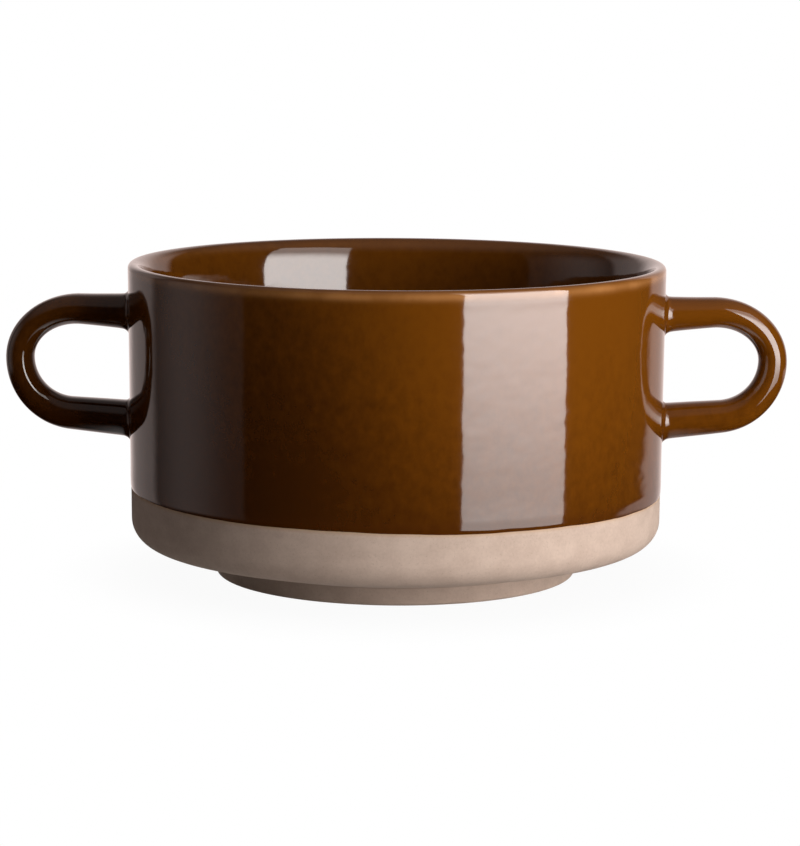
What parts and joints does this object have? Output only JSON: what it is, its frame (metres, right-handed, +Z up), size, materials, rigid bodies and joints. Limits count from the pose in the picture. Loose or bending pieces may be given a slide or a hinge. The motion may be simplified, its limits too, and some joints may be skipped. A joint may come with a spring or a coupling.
{
  "type": "lug soup bowl",
  "caption": "Straight-walled stoneware soup bowl with a D-shaped lug handle on either side, an inset foot ring and an amber-brown glaze that stops above a band of bare clay.",
  "frame": {"origin": "centre of the foot ring's underside, on the bowl's axis", "axes": "+Z up along the bowl's axis, +X through the right handle, -Y towards the viewer of the picture"},
  "size_m": [0.1824, 0.125, 0.0728],
  "materials": {
    "clay": "bare fired stoneware, matte and finely speckled",
    "slip": "fired clay slip, matte",
    "glaze": "glossy amber-brown glaze"
  },
  "bodies": {
    "root": {"bowl_body": "clay", "foot_ring": "clay", "foot_slip": "slip", "bowl_glaze": "glaze", "left_handle": "clay", "left_handle_slip": "slip", "left_handle_glaze": "glaze", "right_handle": "clay", "right_handle_slip": "slip", "right_handle_glaze": "glaze"}
  },
  "joints": []
}
